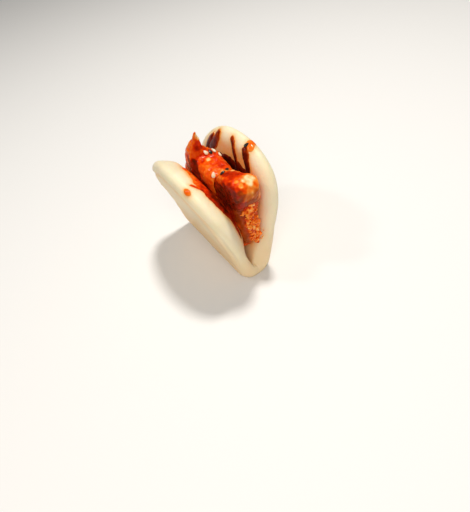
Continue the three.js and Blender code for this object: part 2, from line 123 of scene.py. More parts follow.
def half_thickness(p, q, face):
    """Half of the dough's thickness at a place, on its outer (1) or inner (-1) face."""
    up, distance = np.abs(q), np.maximum(rim_distance(p, q), 0)
    on_flap = of_flap(q, "outer_nose") if face > 0 else INNER_NOSE
    at_fold = NOSE_AT_FOLD[face]
    nose = THICKNESS * (at_fold + (on_flap - at_fold) * eased(up, *NOSE_RISE))
    in_nose = 1 - np.minimum(distance / nose, 1)
    rounding = np.sqrt(np.maximum(1 - in_nose**2, 0))
    middle = eased(up, *SWELL_RISE) * eased(distance, 0, SWELL_RIM[face])
    if face < 0:
        return rounding * THICKNESS / 2 + of_flap(q, "inner_swell") * middle
    crease = CREASE_LOW + (CREASE_HIGH - CREASE_LOW) * eased(up, ROUND_START, CREASE_CLIMB)
    from_crease = (distance - crease) / CREASE_HALF_WIDTH
    groove = of_flap(q, "crease") * np.exp(-(from_crease**2)) * eased(up, *CREASE_RISE)
    outer_half = THICKNESS / 2 + (of_flap(q, "outer_half") - THICKNESS / 2) * eased(up, *NOSE_RISE)
    return rounding * outer_half + of_flap(q, "outer_swell") * middle - groove


def dough_point(p, q, out):
    """Points, in millimetres, at a distance out from the dough's middle layer."""
    up, bent, curl = np.abs(q), FOLD_RADIUS * FLAP_TURN, of_flap(q, "curl")
    angle = np.where(up > bent, FLAP_TURN + curl * (up - bent), up / FOLD_RADIUS)
    y = FOLD_RADIUS * np.sin(np.minimum(angle, FLAP_TURN))
    z = FOLD_RADIUS * (1 - np.cos(np.minimum(angle, FLAP_TURN)))
    past = np.maximum(angle, FLAP_TURN)
    y = y + (np.sin(past) - math.sin(FLAP_TURN)) / curl
    z = z - (np.cos(past) - math.cos(FLAP_TURN)) / curl
    level = THICKNESS / 2 - REST_FLAT_DEPTH
    return np.stack(
        [p, of_flap(q, "side") * (y + out * np.sin(angle)), level + z - out * np.cos(angle)], axis=-1
    )


def face_point(p, q, face, rise):
    """Points on the outer (1) or inner (-1) face of the dough, raised from it."""
    points = dough_point(p, q, face * (half_thickness(p, q, face) + rise))
    if face < 0:
        near_fold = 1 - eased(np.abs(q), *SHIFT_FADE)
        inside = eased(rim_distance(p, q), 0, SHIFT_RIM)
        points[..., 1] += FOLD_SHIFT * near_fold * inside * eased(p, 0, SHIFT_LENGTH)
    return points


def dough_spokes():
    """The sheet's spokes in order round the rim: their feet on the sheet's spine, and their rim ends."""
    share = np.linspace(-1, 1, 2 * FLAP_ROWS + 1)
    rows = np.sign(share) * np.abs(share) ** ROW_CROWDING * ROUND_START
    feet, rims = [], []
    for end, flap in ((1, RIGHT_FLAP), (-1, LEFT_FLAP)):
        q = rows * end
        p = end * rim_distance(np.full_like(q, end * TINY), q)
        feet.append(np.stack([0 * q, q], axis=-1))
        rims.append(np.stack([p, q], axis=-1))
        angle = end * (np.pi / 2 - np.pi * np.arange(1, TIP_SPOKES) / TIP_SPOKES)
        sine = np.sin(angle)
        half = np.where(sine < 0, flap["half_back"], flap["half_front"])
        power = np.where(sine < 0, flap["power_back"], flap["power_front"])
        p = half * np.sign(sine) * np.abs(sine) ** (2 / power)
        q = flap["side"] * (ROUND_START + (flap["reach"] - ROUND_START) * np.cos(angle) ** (2 / power))
        feet.append(np.stack([0 * q, np.full_like(q, flap["side"] * ROUND_START)], axis=-1))
        rims.append(np.stack([p, q], axis=-1))
    return np.concatenate(feet), np.concatenate(rims)


def ripple(points, size, seed):
    """Smooth noise from -1 to 1 at points in millimetres, with bumps of about that size."""
    start = Vector([seed * step for step in SEED_STEPS])
    return np.array([noise.noise(Vector(point) / size + start) for point in points])


def bumps(points, layers, seed):
    """Layers of ripple, given as (height, size), each with the next seed."""
    return sum(height * ripple(points, size, seed + n) for n, (height, size) in enumerate(layers))


def new_piece(name, mesh):
    piece = bpy.data.objects.new(name, mesh)
    bpy.context.scene.collection.objects.link(piece)
    return piece


def surface_of(piece):
    """A piece's surface, for finding places on it."""
    return BVHTree.FromObject(piece, bpy.context.evaluated_depsgraph_get())


def points_of(mesh):
    """A mesh's points in millimetres."""
    co = np.empty(len(mesh.vertices) * 3)
    mesh.vertices.foreach_get("co", co)
    return co.reshape(-1, 3) / MM


def normals_of(mesh):
    out = np.empty(len(mesh.vertices) * 3)
    mesh.vertex_normals.foreach_get("vector", out)
    return out.reshape(-1, 3)


def move_points(mesh, points):
    mesh.vertices.foreach_set("co", (points * MM).ravel())
    mesh.update()


def shade_smooth(mesh):
    mesh.polygons.foreach_set("use_smooth", [True] * len(mesh.polygons))


def paint(mesh, name, values):
    """Keeps one number for each point of a mesh, for its material to read."""
    layer = mesh.attributes.get(name) or mesh.attributes.new(name, "FLOAT", "POINT")
    layer.data.foreach_set("value", np.asarray(values, np.float32))


def painted(mesh, name):
    values = np.empty(len(mesh.vertices), np.float32)
    mesh.attributes[name].data.foreach_get("value", values)
    return values


def weld(mesh):
    """Joins the points of a mesh that fall together, and turns its faces outwards."""
    work = bmesh.new()
    work.from_mesh(mesh)
    bmesh.ops.remove_doubles(work, verts=work.verts, dist=WELD)
    bmesh.ops.recalc_face_normals(work, faces=work.faces)
    work.to_mesh(mesh)
    work.free()


def sheet_mesh():
    """The bun's skin, with each point's place on the sheet kept on it."""
    feet, rims = dough_spokes()
    length = np.linalg.norm(rims - feet, axis=1)[:, None]
    near = RIM_DEPTH * (1 - np.cos(np.pi / 2 * np.arange(RIM_RINGS) / RIM_RINGS))
    far = np.linspace(0, 1, INNER_RINGS)
    distance = np.concatenate(
        [np.broadcast_to(near, (len(feet), RIM_RINGS)), RIM_DEPTH + (length - RIM_DEPTH) * far], axis=1
    )
    reach = 1 - distance / length
    p = feet[:, :1] + (rims - feet)[:, :1] * reach
    q = feet[:, 1:] + (rims - feet)[:, 1:] * reach
    points = np.concatenate([face_point(p, q, face, 0).reshape(-1, 3) for face in (1, -1)])
    spokes, rings = p.shape
    spoke, ring = np.meshgrid(np.arange(spokes), np.arange(rings - 1), indexing="ij")
    a = (spoke * rings + ring).ravel()
    b = ((spoke + 1) % spokes * rings + ring).ravel()
    quads = np.stack([a, b, b + 1, a + 1], axis=-1)
    quads = np.concatenate([quads, quads[:, ::-1] + spokes * rings])
    mesh = bpy.data.meshes.new("bun_skin")
    mesh.from_pydata((points * MM).tolist(), [], quads.tolist())
    for name, values in (("along", p), ("up", q), ("from_rim", distance)):
        paint(mesh, name, np.concatenate([values.ravel(), values.ravel()]))
    paint(mesh, "outer", np.repeat([1.0, 0.0], p.size))
    weld(mesh)
    shade_smooth(mesh)
    return mesh


def dough_relief(mesh):
    """The skin's unevenness in millimetres: puffs, wrinkles by the crease, a pinch at the fold's end."""
    points = points_of(mesh)
    p, q, rim, outer = (painted(mesh, name) for name in ("along", "up", "from_rim", "outer"))
    wrinkled = outer * eased(-q, *WRINKLE_RISE) * eased(rim, *WRINKLE_RIM) * (1 - eased(rim, *WRINKLE_FADE))
    stretched = np.stack([p, q, rim], axis=-1) * WRINKLE_STRETCH
    wrinkles = bumps(stretched, WRINKLES, seed=4) + bumps(points, WRINKLE_GRAIN, seed=5)
    pinch = np.exp(-((q / PINCH_HALF_WIDTH) ** 2)) * eased(p, *PINCH_RISE)
    return bumps(points, DOUGH_BUMPS, seed=1) + wrinkled * wrinkles - PINCH_DEPTH * pinch


def feed(tree, socket, value):
    """Links an output to a socket, or sets a number, name, vector or colour on it."""
    if isinstance(value, bpy.types.NodeSocket):
        tree.links.new(socket, value)
    else:
        socket.default_value = (*value, 1) if socket.type == "RGBA" else value


def put(tree, kind, inputs=None, **settings):
    """A new node in a tree, with its settings, and its inputs fed with outputs or values."""
    node = tree.nodes.new(kind)
    for name, value in settings.items():
        setattr(node, name, value)
    for key, value in (inputs or {}).items():
        feed(tree, node.inputs[key], value)
    return node


def calc(tree, operation, one, other):
    """Two outputs or numbers put together by a Math node."""
    return put(tree, "ShaderNodeMath", {0: one, 1: other}, operation=operation).outputs[0]


def spread(tree, value, low, high, start=0.0, end=1.0):
    """An output that goes from low to high as a value goes from start to end."""
    ends = {"From Min": start, "From Max": end, "To Min": low, "To Max": high}
    return put(tree, "ShaderNodeMapRange", {"Value": value, **ends}).outputs["Result"]


def shade(tree, factor, one, other):
    """One colour or output turning into another as a factor goes from 0 to 1."""
    return put(tree, "ShaderNodeMix", {0: factor, 6: one, 7: other}, data_type="RGBA").outputs[2]


def ramp(tree, factor, stops):
    """A colour ramp with (place, colour) stops, fed by an output."""
    node = put(tree, "ShaderNodeValToRGB", {0: factor})
    elements = node.color_ramp.elements
    while len(elements) < len(stops):
        elements.new(0.5)
    for element, (place, colour) in zip(elements, stops):
        element.position = place
        element.color = (*colour, 1)
    return node.outputs["Color"]


def kept(tree, name):
    """What was painted on a mesh under a name, as an output."""
    return put(tree, "ShaderNodeAttribute", attribute_name=name).outputs["Fac"]


def clouds(tree, place, scale, detail):
    """Soft noise over a surface, as an output."""
    inputs = {"Vector": place, "Scale": scale, "Detail": detail}
    return put(tree, "ShaderNodeTexNoise", inputs).outputs["Fac"]


def uneven_skin():
    """A shader group: fine grain, grain with pores as a height, slow blotches, and a mask of pits."""
    tree = bpy.data.node_groups.new("uneven_skin", "ShaderNodeTree")
    for name in ("Grain Scale", "Pore Scale", "Blotch Scale"):
        tree.interface.new_socket(name, in_out="INPUT", socket_type="NodeSocketFloat")
    for name in ("Grain", "Height", "Blotch", "Pit"):
        tree.interface.new_socket(name, in_out="OUTPUT", socket_type="NodeSocketFloat")
    given, out = tree.nodes.new("NodeGroupInput").outputs, tree.nodes.new("NodeGroupOutput").inputs
    place = tree.nodes.new("ShaderNodeTexCoord").outputs["Object"]
    grain = clouds(tree, place, given["Grain Scale"], detail=4.0)
    blotch = clouds(tree, place, given["Blotch Scale"], detail=3.0)
    pores = put(tree, "ShaderNodeTexVoronoi", {"Vector": place, "Scale": given["Pore Scale"]}).outputs
    off_pore = spread(tree, pores["Distance"], 0.0, 1.0, end=0.35)
    chosen = spread(tree, pores["Color"], 0.0, 1.0, start=0.5, end=0.8)
    feed(tree, out["Grain"], grain)
    feed(tree, out["Height"], calc(tree, "ADD", grain, off_pore))
    feed(tree, out["Blotch"], blotch)
    feed(tree, out["Pit"], calc(tree, "MULTIPLY", calc(tree, "SUBTRACT", 1.0, off_pore), chosen))
    return tree


def skin_in(tree, grain, pores, blotch):
    """The outputs of the uneven skin in a material, at scales of its own."""
    scales = {"Grain Scale": grain, "Pore Scale": pores, "Blotch Scale": blotch}
    return put(tree, "ShaderNodeGroup", scales, node_tree=UNEVEN_SKIN).outputs


def material(name):
    """A new material, with its node tree and its shader."""
    made = bpy.data.materials.new(name)
    made.use_nodes = True
    return made, made.node_tree, made.node_tree.nodes["Principled BSDF"]


def finish_shader(tree, shader, relief, inputs):
    """Feeds a shader its inputs, and a bump given as (height output, strength, depth in millimetres)."""
    height, strength, depth = relief
    bump = put(tree, "ShaderNodeBump", {"Height": height, "Strength": strength, "Distance": depth * MM})
    feed(tree, shader.inputs["Normal"], bump.outputs["Normal"])
    for name, value in inputs.items():
        feed(tree, shader.inputs[name], value)


def dough_material():
    made, tree, shader = material("steamed_dough")
    skin = skin_in(tree, grain=900.0, pores=420.0, blotch=75.0)
    cream = ramp(tree, skin["Blotch"], [(0.3, DULL_DOUGH), (0.7, BRIGHT_DOUGH)])
    # Painted light: warm bounced light low down, and shade on the outer faces and the crease, over a random
    # drift of warmth.
    warm_and_painted_light = shade(tree, kept(tree, "warmth_and_painted_light"), cream, WARM_AND_PAINTED_LIGHT_DOUGH)
    # The stain also paints orange light bounced from the filling onto the inner faces.
    with_stain_and_bounce = shade(tree, kept(tree, "stain_and_bounce"), warm_and_painted_light, STAIN_AND_BOUNCE_DOUGH)
    # The pores are painted darker: painted shade in the pits.
    pore_shade = calc(tree, "MULTIPLY", kept(tree, "painted_pore_shade"), skin["Pit"])
    finish_shader(tree, shader, (skin["Height"], 0.26, 0.4), {
        "Base Color": shade(tree, pore_shade, with_stain_and_bounce, PORE_SHADE_DOUGH),
        "Roughness": spread(tree, skin["Blotch"], 0.42, 0.58),
        "Subsurface Weight": 0.35,
        "Subsurface Radius": (1.0, 0.62, 0.34),
        "Subsurface Scale": 3.0 * MM,
    })
    return made


UNEVEN_SKIN = uneven_skin()
bun = new_piece("bun_dough", sheet_mesh())
bun_points = points_of(bun.data) + normals_of(bun.data) * dough_relief(bun.data)[:, None]
bun_points[:, 2] = np.maximum(bun_points[:, 2], 0)
move_points(bun.data, bun_points + FOLD_PLACE)
bun_surface = surface_of(bun)
bun.data.materials.append(dough_material())
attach(bun, "root")
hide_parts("bun")


# The sauce is a thick, glossy red chilli glaze. It has run down the inner face of the right flap in brown
# streaks, painted browner and darker than the sauce elsewhere as painted shade of that shaded face, and
# pooled where that flap meets the filling, a dark sheet that also paints the shade of the gap there. Smears
# of it lie on both rims, and a band follows the inner side of the left flap. Runs are laid on the dough
# along places (p, q, half width).
SAUCE_RUNS = [
    [(-12.4, 69.2, 2.0), (-12.8, 66.6, 3.0), (-14.2, 63.0, 3.3), (-16.4, 59.0, 3.2), (-18.6, 54.0, 2.8)],
    [(-16.8, 65.6, 1.2), (-19.4, 62.0, 2.2), (-21.8, 57.6, 2.5), (-23.0, 53.0, 2.0)],
    [(-1.4, 70.4, 1.1), (0.6, 69.0, 1.4), (2.4, 67.1, 1.5), (4.8, 62.5, 1.6), (7.1, 57.8, 1.9),
     (8.2, 53.0, 1.9)],
    [(10.9, 69.8, 1.9), (11.9, 67.9, 2.2), (14.3, 64.2, 2.2), (16.2, 60.6, 2.1), (17.0, 57.6, 2.0),
     (17.2, 53.0, 1.8)],
]
# The pool is a dark sheet of sauce; its darkness also paints the shade of the deep gap between flap and
# filling.
SAUCE_POOL_AND_GAP_SHADE = [
    (-23.0, 49.0, 2.0), (-16.0, 52.0, 4.4), (-9.0, 52.2, 5.6), (-3.0, 54.2, 5.8), (4.0, 53.0, 6.2),
    (10.0, 54.4, 5.6), (16.0, 52.4, 4.8), (21.0, 48.0, 2.2),
]
SAUCE_BAND = [
    (-6.0, -62.4, 0.8), (-2.4, -62.4, 1.5), (5.0, -62.0, 2.8), (12.5, -60.6, 3.4), (17.2, -58.2, 3.4),
    (22.4, -54.8, 3.1), (26.0, -51.2, 2.6), (29.4, -46.4, 1.8), (31.0, -40.0, 1.2), (31.8, -32.0, 0.8),
]
SAUCE_STREAK = [(12.0, -66.0, 0.5), (12.9, -65.2, 0.7), (14.0, -64.2, 0.7), (15.6, -62.4, 0.7)]
SAUCE_SMEARS = [
    {"p": 12.4, "q": 70.6, "face": -1, "size": (8.0, 5.4, 0.6), "turn": 80, "uneven": 0.20, "seed": 51},
    {"p": 15.5, "q": -66.5, "face": 1, "size": (5.0, 3.1, 0.7), "turn": 130, "uneven": 0.07, "seed": 52},
]
RUN_HIGHEST, POOL_HIGHEST, BAND_HIGHEST, STREAK_HIGHEST = 0.9, 0.6, 0.5, 0.3
POOL_SEED, STREAK_SEED, BAND_SEED = 7, 8, 9
RUN_STATIONS, RUN_ACROSS, RUN_END_SHARE = 80, 25, 0.09
RUN_HEIGHT_SHARE, RUN_ROOT, RUN_SKIN = 0.42, 0.7, 0.02
RUN_EDGE_BUMPS, RUN_EDGE_SEEDS = [(0.24, 2.8), (0.10, 1.1)], (0.3, 0.6)
SMEAR_RINGS, SMEAR_SPOKES, SMEAR_ROOT, SMEAR_DROP, SMEAR_LOBES = 14, 48, 0.5, 6.0, 1.4
SAUCE_VOXEL, SAUCE_SOFTEN = 0.22 * MM, 8
SAUCE_DEEP = 0.7
SAUCE_STREAKS, SAUCE_CLOUDS, STREAK_STRETCH = [(1.0, 1.1)], [(0.6, 2.6)], (1, 1, 0.3)
RUN_PALE_LEVEL, RUN_PALE_OVER = 70.0, 9.0
SAUCE_TONES = {
    "sauce_runs": {
        "thin": -0.14, "thick": 0.62, "streaks": 0.20, "low": 0.32, "front": 0.24,
        "front_rise": (-20.0, 40.0),
    },
    "sauce_pool_and_gap_shade": {"thin": 0.62, "thick": 0.56, "streaks": 0.16},
    "sauce_smears": {"thin": 0.18, "thick": 0.20, "streaks": 0.04},
    "sauce_band": {"thin": 0.36, "thick": 0.24, "streaks": 0.16, "front": 0.36, "front_rise": (8.0, 16.0)},
}
# From thin sauce over pale batter to a deep pool, whose darkest tones also carry the painted shade on the
# crust's faces turned from the light; and, browner and darker, from the thin edge of a run to its thick
# middle, which paints the shade of the flap's inner face as well as the run's thickness.
SAUCE_STOPS = [
    (0.00, (0.93, 0.72, 0.40)), (0.20, (0.87, 0.28, 0.035)), (0.40, (0.80, 0.105, 0.003)),
    (0.56, (0.66, 0.028, 0.001)), (0.72, (0.34, 0.012, 0.001)), (0.88, (0.15, 0.008, 0.001)),
    (1.00, (0.06, 0.005, 0.001)),
]
SHADED_RUN_STOPS = [
    (0.00, (0.78, 0.33, 0.07)), (0.25, (0.54, 0.11, 0.010)), (0.50, (0.28, 0.025, 0.002)),
    (0.75, (0.13, 0.008, 0.001)), (1.00, (0.05, 0.004, 0.001)),
]


def along_curve(places, count):
    """Even steps along a smooth curve through places."""
    places = np.array(places, float)
    ends = np.vstack([2 * places[0] - places[1], places, 2 * places[-1] - places[-2]])
    t = np.linspace(0, len(places) - 1, count)
    i = np.minimum(t.astype(int), len(places) - 2)
    f = (t - i)[:, None]
    a, b, c, d = (ends[i + k] for k in range(4))
    return 0.5 * (2 * b + (c - a) * f + (2 * a - 5 * b + 4 * c - d) * f**2 + (3 * b - a - 3 * c + d) * f**3)


def run_shape(places, highest, seed):
    """A rounded, uneven run of sauce rooted in the dough's inner face, as points and faces."""
    way = along_curve(places, RUN_STATIONS)
    step = np.gradient(way[:, :2], axis=0)
    step /= np.linalg.norm(step, axis=1)[:, None]
    share = np.linspace(0, 1, RUN_STATIONS)
    from_end = np.minimum(np.minimum(share, 1 - share) / RUN_END_SHARE, 1)
    half = way[:, 2] * np.sqrt(1 - (1 - from_end) ** 2)
    flat = way * (1, 1, 0)
    left, right = (
        half * (1 + sum(height * ripple(flat, size, seed + edge) for height, size in RUN_EDGE_BUMPS))
        for edge in RUN_EDGE_SEEDS
    )
    across = np.linspace(-1, 1, RUN_ACROSS)
    reach = across * np.where(across < 0, left[:, None], right[:, None])
    height = np.minimum(half * RUN_HEIGHT_SHARE, highest)[:, None] * (1 - across**2)
    p = way[:, :1] - step[:, 1:] * reach
    q = way[:, 1:2] + step[:, :1] * reach
    top = face_point(p, q, -1, height + RUN_SKIN)
    root = face_point(p, q, -1, -RUN_ROOT * np.sqrt(1 - across**2) - RUN_SKIN)
    ring = np.concatenate([top, root[:, ::-1]], axis=1)
    size = ring.shape[1]
    i, k = np.meshgrid(np.arange(RUN_STATIONS - 1), np.arange(size), indexing="ij")
    a, b = i * size + k, i * size + (k + 1) % size
    faces = np.stack([a, b, b + size, a + size], axis=-1).reshape(-1, 4).tolist()
    last = (RUN_STATIONS - 1) * size
    faces += [list(range(size))[::-1], [last + k for k in range(size)]]
    return ring.reshape(-1, 3) + FOLD_PLACE, faces


def smear_shape(p, q, face, size, turn, uneven, seed):
    """A flat smear with an uneven edge, following the dough under it."""
    spot = Vector(face_point(np.array(p), np.array(q), face, 0) + FOLD_PLACE)
    middle, normal, _, _ = bun_surface.find_nearest(spot * MM)
    laid = normal.to_track_quat("Z", "Y").to_matrix() @ Matrix.Rotation(math.radians(turn), 3, "Z")
    length, width, height = size
    top, root = [], []
    for ring in range(SMEAR_RINGS + 1):
        share = ring / SMEAR_RINGS
        rounding = (1 - share**2) ** 0.5
        for spoke in range(SMEAR_SPOKES):
            angle = math.tau * spoke / SMEAR_SPOKES
            way = Vector((math.cos(angle), math.sin(angle), 0))
            reach = share * (1 + uneven * noise.noise(way * SMEAR_LOBES + Vector((seed, 0, 0))))
            way = Vector((way.x * length / 2, way.y * width / 2, 0)) * reach
            above = middle + laid @ (way + Vector((0, 0, SMEAR_DROP))) * MM
            place, out, _, _ = bun_surface.ray_cast(above, -normal)
            top.append((place + out * height * MM * rounding) / MM)
            root.append((place - out * SMEAR_ROOT * MM * rounding) / MM)
    faces = []
    for ring in range(SMEAR_RINGS):
        for spoke in range(SMEAR_SPOKES):
            a, b = ring * SMEAR_SPOKES + spoke, ring * SMEAR_SPOKES + (spoke + 1) % SMEAR_SPOKES
            faces.append([a, a + SMEAR_SPOKES, b + SMEAR_SPOKES, b])
            faces.append([k + len(top) for k in (a, b, b + SMEAR_SPOKES, a + SMEAR_SPOKES)])
    return np.array(top + root), faces


def made_plain(piece):
    """Turns what a piece's modifiers make into its own plain mesh."""
    depsgraph = bpy.context.evaluated_depsgraph_get()
    piece.data = bpy.data.meshes.new_from_object(piece.evaluated_get(depsgraph))
    piece.modifiers.clear()
    return piece


def remeshed(piece, voxel, rounds):
    """A piece with its skin made anew in even small quads, then softened."""
    fuse = piece.modifiers.new("fuse", "REMESH")
    fuse.mode = "VOXEL"
    fuse.voxel_size = voxel
    soften = piece.modifiers.new("soften", "SMOOTH")
    soften.factor = 0.5
    soften.iterations = rounds
    shade_smooth(made_plain(piece).data)
    return piece


def fused_piece(name, shapes, voxel, rounds):
    """One closed, softened skin round overlapping shapes, each given as points in millimetres and faces."""
    points, faces, start = [], [], 0
    for shape_points, shape_faces in shapes:
        points.append(shape_points)
        faces += [[k + start for k in face] for face in shape_faces]
        start += len(shape_points)
    mesh = bpy.data.meshes.new(name)
    mesh.from_pydata((np.concatenate(points) * MM).tolist(), [], faces)
    weld(mesh)
    return remeshed(new_piece(name, mesh), voxel, rounds)


def depth_on(piece, surface):
    """How far each point of a piece stands off a surface, in millimetres."""
    depths = []
    for vertex in piece.data.vertices:
        spot, normal, _, _ = surface.find_nearest(vertex.co)
        depths.append((vertex.co - spot).dot(normal) / MM)
    return np.array(depths)


def sauce_tone(sauce, thin, thick, streaks, low=0.0, front=0.0, front_rise=(0.0, 1.0)):
    """How deep the sauce's colour is: more where it is thick, low down or towards the front."""
    places = points_of(sauce.data)
    tone = thin + thick * eased(depth_on(sauce, bun_surface), 0, SAUCE_DEEP)
    streaky = bumps(places * STREAK_STRETCH, SAUCE_STREAKS, seed=14) + bumps(places, SAUCE_CLOUDS, seed=15)
    lower = eased(RUN_PALE_LEVEL - places[:, 2], 0, RUN_PALE_OVER)
    return tone + streaks * streaky + low * lower + front * eased(places[:, 0], *front_rise)


def sauce_material(name, stops, shine):
    made, tree, shader = material(name)
    skin = skin_in(tree, grain=500.0, pores=900.0, blotch=420.0)
    tone = calc(tree, "ADD", kept(tree, "tone"), spread(tree, skin["Blotch"], -0.14, 0.14))
    finish_shader(tree, shader, (skin["Blotch"], 0.3, 0.4), {
        "Base Color": ramp(tree, tone, stops),
        "Roughness": 0.13,
        "Specular IOR Level": shine,
    })
    return made


ORANGE_SAUCE = sauce_material("chilli_sauce", SAUCE_STOPS, shine=0.14)
# The runs' sauce is a browner, darker copy of the sauce: painted shade as well as thickness.
SHADED_BROWN_SAUCE = sauce_material("run_sauce_painted_shade", SHADED_RUN_STOPS, shine=0.07)
runs = [run_shape(run, RUN_HIGHEST, seed) for seed, run in enumerate(SAUCE_RUNS)]
pool_and_gap_shade = [run_shape(SAUCE_POOL_AND_GAP_SHADE, POOL_HIGHEST, POOL_SEED)]
smears = [smear_shape(**smear) for smear in SAUCE_SMEARS]
band = [
    run_shape(SAUCE_BAND, BAND_HIGHEST, BAND_SEED),
    run_shape(SAUCE_STREAK, STREAK_HIGHEST, STREAK_SEED),
]
sauce_pieces = []
for name, shapes, look in (
    ("sauce_runs", runs, SHADED_BROWN_SAUCE),
    ("sauce_pool_and_gap_shade", pool_and_gap_shade, SHADED_BROWN_SAUCE),
    ("sauce_smears", smears, ORANGE_SAUCE),
    ("sauce_band", band, ORANGE_SAUCE),
):
    sauce = fused_piece(name, shapes, SAUCE_VOXEL, SAUCE_SOFTEN)
    paint(sauce.data, "tone", sauce_tone(sauce, **SAUCE_TONES[name]))
    sauce.data.materials.append(look)
    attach(sauce, "root")
    sauce_pieces.append(sauce)


# The filling is two slabs of fried fillet in a craggy batter, standing on edge in the fold and coated in
# the same sauce. It lies thick and dark in the hollows, and thin on the ridges, where the pale batter
# shows.
# The faces turned from the light carry thick sauce, painted darker still as painted shade, and a few pale
# spots are painted highlights. Patches of sauce are (x, y, z, radius, tone), laid one over another.
CRUST_SEEDS = {"fillet_front": 21, "fillet_back": 31}
CRUST_VOXEL, CRUST_SOFTEN, CRUST_SINK = 0.42 * MM, 14, 0.05
RIDGE_HEIGHT, RIDGE_SIZE, RIDGE_LEVEL = 0.42, 3.4, 0.4
CRAGS = [(0.28, 2.3), (0.11, 1.1)]
HOLLOW_ROUNDS, HOLLOW_DEPTH, HOLLOW_TONE = 24, 0.3, 0.14
GLAZE_TONE, GLAZE_DRIFT, GLAZE_MOTTLE = 0.48, [(0.10, 8.0)], [(0.04, 1.7)]
GLAZE_STREAKS, GLAZE_STRETCH = [(0.09, 1.2)], (1, 1, 0.28)
PATCH_EDGE, PATCH_FADE = [(0.30, 3.2), (0.15, 1.2)], (0.6, 0.55)
PAINTED_SHADE_EDGE, PAINTED_SHADE_FADE, PAINTED_SHADE_COLOUR = [(0.35, 2.6), (0.15, 1.0)], (0.5, 0.7), (0.26, 0.040, 0.004)
# The back fillet's left face is turned from the light: thick sauce with painted shade.
BACK_LEFT_FACE_SHADE = [
    (-4.0, -9.2, 60.0, 8.0, 0.80), (0.3, -8.6, 60.1, 4.0, 0.88), (-5.5, -9.0, 62.2, 3.4, 0.84),
    (-2.4, -7.6, 64.4, 2.6, 0.86), (6.0, -9.2, 55.0, 6.0, 0.80),
]
BACK_LEFT_SHOULDER = [
    (-7.2, -5.6, 73.4, 3.2, 0.38), (-8.8, -8.5, 63.7, 2.8, 0.44), (-6.0, -6.6, 69.0, 2.2, 0.46),
    (3.1, -7.1, 63.6, 2.8, 0.46), (8.1, -8.0, 62.8, 3.4, 0.46), (10.7, -8.5, 60.1, 3.0, 0.52),
]
BACK_TOP = [
    (5.5, -4.0, 65.2, 3.0, 0.44), (6.8, -0.9, 65.1, 3.0, 0.50), (4.1, 3.7, 65.4, 3.6, 0.54),
    (9.4, 2.8, 64.5, 4.0, 0.60), (-3.0, -2.8, 72.4, 2.8, 0.66),
]
# Pale spots of bare batter; the middle one is a painted highlight.
BACK_BARE_SPOTS_AND_HIGHLIGHT = [
    (-3.5, -1.8, 77.1, 2.2, 0.14), (2.0, -1.2, 65.5, 1.5, 0.12), (14.6, -0.4, 64.4, 1.9, 0.16),
]
# The front fillet's left face is turned from the light: thick sauce with painted shade.
FRONT_LEFT_FACE_SHADE = [
    (28.0, -7.4, 57.0, 9.0, 0.90), (20.0, -7.0, 57.0, 7.0, 0.86), (25.4, -6.6, 64.9, 3.6, 0.84),
    (30.8, -6.5, 63.6, 3.8, 0.90), (33.7, -5.6, 61.5, 3.4, 0.90),
]
FRONT_TOP = [
    (19.7, -5.1, 66.2, 1.8, 0.44), (22.1, -0.6, 67.7, 3.0, 0.68), (25.8, 0.9, 68.3, 3.2, 0.66),
    (28.5, -2.6, 68.0, 2.4, 0.48), (33.2, -4.4, 66.8, 2.8, 0.60), (29.9, -5.2, 68.0, 2.4, 0.58),
]
# The pale corner is bare batter, with orange edges; its last, dark patch is painted shade on the ledge
# under its overhang.
FRONT_BARE_CORNER_AND_LEDGE_SHADE = [
    (35.5, 1.9, 64.2, 3.0, 0.30), (33.0, 7.2, 65.5, 3.2, 0.34), (31.6, 3.2, 67.6, 3.6, 0.10),
    (33.4, 2.0, 66.8, 2.2, 0.09), (31.5, 0.0, 68.0, 1.6, 0.16), (36.2, -0.6, 61.0, 3.2, 0.28),
    (35.4, 3.6, 59.0, 3.4, 0.34), (34.4, -3.6, 56.9, 3.4, 0.80),
]
FRONT_BACK_EDGE = [
    (17.4, 0.4, 66.8, 1.5, 0.18), (20.1, 1.6, 67.5, 1.5, 0.18), (23.5, 3.0, 67.9, 1.4, 0.24),
]
FRONT_LOW_END = [
    (28.6, -5.3, 45.8, 5.0, 0.72), (31.0, -3.6, 40.0, 5.0, 0.50), (30.8, -3.4, 33.0, 5.0, 0.48),
]
FRONT_TOP_EDGE = [
    (22.0, -3.4, 68.0, 2.4, 0.72), (26.1, -3.1, 68.4, 2.2, 0.64), (26.0, -6.1, 67.6, 2.0, 0.62),
    (28.9, -6.4, 67.1, 2.2, 0.74), (31.4, -6.6, 66.3, 2.2, 0.82), (33.4, -6.2, 64.4, 2.4, 0.86),
    (34.8, -5.4, 63.0, 2.0, 0.84), (33.5, -5.0, 66.6, 1.6, 0.66),
]
# A painted highlight on the front top edge, and a paler orange spot beside it.
FRONT_HIGHLIGHT_AND_PALE_SPOT = [(33.1, -2.5, 67.4, 1.5, 0.20), (30.3, -3.2, 68.5, 1.3, 0.26)]
GLAZE_PATCHES = {
    "fillet_back": BACK_LEFT_FACE_SHADE + BACK_LEFT_SHOULDER + BACK_TOP + BACK_BARE_SPOTS_AND_HIGHLIGHT,
    "fillet_front": FRONT_LEFT_FACE_SHADE + FRONT_TOP + FRONT_BARE_CORNER_AND_LEDGE_SHADE + FRONT_BACK_EDGE + FRONT_LOW_END
    + FRONT_TOP_EDGE + FRONT_HIGHLIGHT_AND_PALE_SPOT,
}
